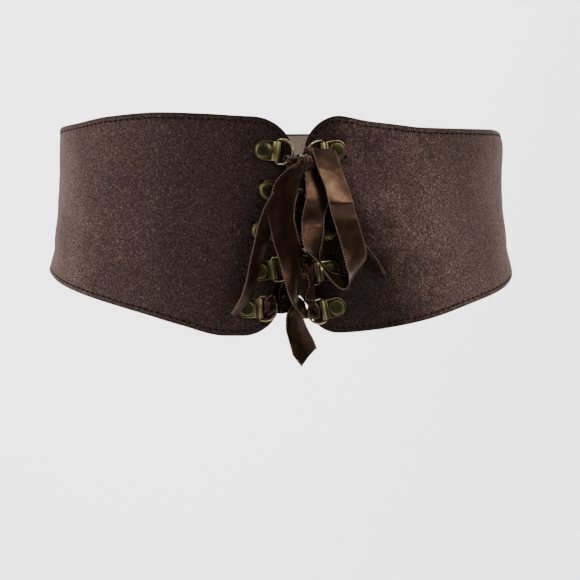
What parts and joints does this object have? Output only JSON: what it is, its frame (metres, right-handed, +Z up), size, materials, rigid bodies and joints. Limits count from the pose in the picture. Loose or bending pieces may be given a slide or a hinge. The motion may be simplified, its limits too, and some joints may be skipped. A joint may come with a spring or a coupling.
{
  "type": "corset belt",
  "caption": "Wide two-panel corset belt in suede, laced at the front through riveted D-ring loops with a satin ribbon tied in a bow.",
  "frame": {"origin": "middle of the waist that the belt goes round, at waist level", "axes": "+Z up, the laced front faces -Y, +X is on the right of someone looking at the front"},
  "size_m": [0.3211, 0.2402, 0.1607],
  "materials": {
    "suede": "matt suede nap, dark brown",
    "brass": "antiqued, dark with bright rims",
    "ribbon": "brown satin"
  },
  "bodies": {
    "root": {"bow_loop_left": "ribbon", "bow_loop_right": "ribbon", "bow_tail_left": "ribbon", "bow_tail_right": "ribbon", "clip_left_1": "brass", "clip_left_2": "brass", "clip_left_3": "brass", "clip_left_4": "brass", "clip_left_5": "brass", "clip_right_1": "brass", "clip_right_2": "brass", "clip_right_3": "brass", "clip_right_4": "brass", "clip_right_5": "brass", "knot": "ribbon", "lace_bottom": "ribbon", "lace_left_2_to_right_1": "ribbon", "lace_left_3_to_right_2": "ribbon", "lace_left_4_to_right_3": "ribbon", "lace_left_5_to_right_4": "ribbon", "lace_right_2_to_left_1": "ribbon", "lace_right_3_to_left_2": "ribbon", "lace_right_4_to_left_3": "ribbon", "lace_right_5_to_left_4": "ribbon", "left_panel": "suede", "right_panel": "suede", "ring_left_1": "brass", "ring_left_2": "brass", "ring_left_3": "brass", "ring_left_4": "brass", "ring_left_5": "brass", "ring_right_1": "brass", "ring_right_2": "brass", "ring_right_3": "brass", "ring_right_4": "brass", "ring_right_5": "brass", "rivet_left_1": "brass", "rivet_left_2": "brass", "rivet_left_3": "brass", "rivet_left_4": "brass", "rivet_left_5": "brass", "rivet_right_1": "brass", "rivet_right_2": "brass", "rivet_right_3": "brass", "rivet_right_4": "brass", "rivet_right_5": "brass", "strap_left": "ribbon", "strap_right": "ribbon"}
  },
  "joints": []
}
